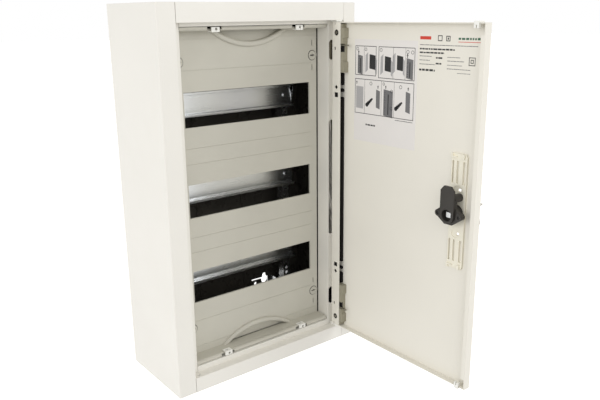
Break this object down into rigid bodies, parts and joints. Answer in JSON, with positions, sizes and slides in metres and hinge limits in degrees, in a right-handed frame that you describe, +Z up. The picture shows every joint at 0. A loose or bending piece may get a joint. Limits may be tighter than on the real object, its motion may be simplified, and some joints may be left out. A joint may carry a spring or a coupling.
{
  "type": "distribution_cabinet",
  "caption": "Wall-mounted sheet-steel distribution cabinet with a hinged door on sprung pins, wing-knob cam lock, DIN rails and a slotted device cover.",
  "frame": {"origin": "centre of the flat back face that rests on the wall", "axes": "+Z up, -Y out of the wall towards the front, +X to the right seen from the front"},
  "size_m": [0.3255, 0.3994, 0.524],
  "materials": {
    "housing_paint": "fine-grain off-white powder coat, satin",
    "door_paint": "fine-grain warm off-white powder coat, satin",
    "cover_plastic": "light grey moulded sheet plastic, matt",
    "liner_plastic": "black insulating plastic, slight sheen",
    "zinc_steel": "zinc-plated steel, faintly mottled",
    "terminal_brass": "bare brass bar, satin",
    "black_plastic": "black moulded plastic, satin",
    "white_plastic": "white moulded plastic, smooth",
    "hinge_plastic": "grey-beige moulded plastic, matt",
    "plate_plastic": "cream moulded plastic, matt",
    "handle_plastic": "pale grey moulded plastic, satin",
    "foam_seal": "black foamed seal, matt",
    "label_film": "printed adhesive film, matt"
  },
  "bodies": {
    "housing": {"back_panel": "housing_paint", "side_panel_left": "housing_paint", "side_panel_right": "housing_paint", "top_panel": "housing_paint", "bottom_panel": "housing_paint", "cable_entry_plate_top": "cover_plastic", "cable_entry_plate_bottom": "cover_plastic", "door_frame_left": "housing_paint", "door_frame_right": "housing_paint", "door_frame_top": "housing_paint", "door_frame_bottom": "housing_paint", "insulating_liner": "liner_plastic", "frame_upright_left": "zinc_steel", "frame_upright_right": "zinc_steel", "cover_bracket_top_left": "zinc_steel", "cover_bracket_top_right": "zinc_steel", "cover_bracket_bottom_left": "zinc_steel", "cover_bracket_bottom_right": "zinc_steel", "din_rail_1": "zinc_steel", "rail_screw_left_1": "zinc_steel", "rail_screw_right_1": "zinc_steel", "din_rail_2": "zinc_steel", "rail_screw_left_2": "zinc_steel", "rail_screw_right_2": "zinc_steel", "din_rail_3": "zinc_steel", "rail_screw_left_3": "zinc_steel", "rail_screw_right_3": "zinc_steel", "earth_bar_carrier": "black_plastic", "earth_terminal_bar": "terminal_brass", "neutral_bar_carrier": "black_plastic", "neutral_terminal_bar": "terminal_brass", "device_cover": "cover_plastic", "cover_clip_top_left": "white_plastic", "cover_clip_top_right": "white_plastic", "cover_clip_bottom_left": "white_plastic", "cover_clip_bottom_right": "white_plastic", "hinge_lug_upper": "white_plastic", "hinge_lug_lower": "white_plastic"},
    "door": {"door_panel": "door_paint", "hinge_block_upper": "hinge_plastic", "hinge_block_lower": "hinge_plastic", "hinge_screw_upper": "zinc_steel", "hinge_screw_lower": "zinc_steel", "lock_plate": "plate_plastic", "lock_body": "black_plastic", "door_glide_top": "white_plastic", "door_glide_bottom": "white_plastic", "instruction_label": "label_film", "door_gasket": "foam_seal", "pin_spring_upper": "zinc_steel", "pin_spring_lower": "zinc_steel"},
    "latch": {"lock_handle": "handle_plastic", "lock_spindle": "zinc_steel", "lock_cam": "black_plastic"},
    "hinge_pin_upper_body": {"hinge_pin_upper": "zinc_steel"},
    "hinge_pin_lower_body": {"hinge_pin_lower": "zinc_steel"},
    "turn_screw_top_left_body": {"turn_screw_top_left": "cover_plastic"},
    "turn_screw_top_right_body": {"turn_screw_top_right": "cover_plastic"},
    "turn_screw_bottom_left_body": {"turn_screw_bottom_left": "cover_plastic"},
    "turn_screw_bottom_right_body": {"turn_screw_bottom_right": "cover_plastic"}
  },
  "joints": [
    {"name": "door_hinge", "type": "hinge", "parent": "housing", "child": "door", "pos_m": [0.1292, -0.1386, 0], "axis": [0, 0, 1], "range_deg": [-90, 45]},
    {"name": "latch_turn", "type": "hinge", "parent": "door", "child": "latch", "pos_m": [0.1322, -0.3654, 0.0005], "axis": [1, 0, 0], "range_deg": [0, 90]},
    {"name": "hinge_pin_upper_slide", "type": "slide", "parent": "door", "child": "hinge_pin_upper_body", "axis": [0, 0, 1], "range_m": [-0.008, 0], "stiffness_N_per_m": 400, "springref_m": 0.004, "deforming": ["pin_spring_upper"]},
    {"name": "hinge_pin_lower_slide", "type": "slide", "parent": "door", "child": "hinge_pin_lower_body", "axis": [0, 0, 1], "range_m": [0, 0.008], "stiffness_N_per_m": 400, "springref_m": -0.004, "deforming": ["pin_spring_lower"]},
    {"name": "turn_screw_top_left_turn", "type": "hinge", "parent": "housing", "child": "turn_screw_top_left_body", "pos_m": [-0.1115, -0.1003, 0.1875], "axis": [0, 1, 0], "range_deg": [0, 90]},
    {"name": "turn_screw_top_right_turn", "type": "hinge", "parent": "housing", "child": "turn_screw_top_right_body", "pos_m": [0.1115, -0.1003, 0.1875], "axis": [0, 1, 0], "range_deg": [0, 90]},
    {"name": "turn_screw_bottom_left_turn", "type": "hinge", "parent": "housing", "child": "turn_screw_bottom_left_body", "pos_m": [-0.1115, -0.1003, -0.1875], "axis": [0, 1, 0], "range_deg": [0, 90]},
    {"name": "turn_screw_bottom_right_turn", "type": "hinge", "parent": "housing", "child": "turn_screw_bottom_right_body", "pos_m": [0.1115, -0.1003, -0.1875], "axis": [0, 1, 0], "range_deg": [0, 90]}
  ]
}
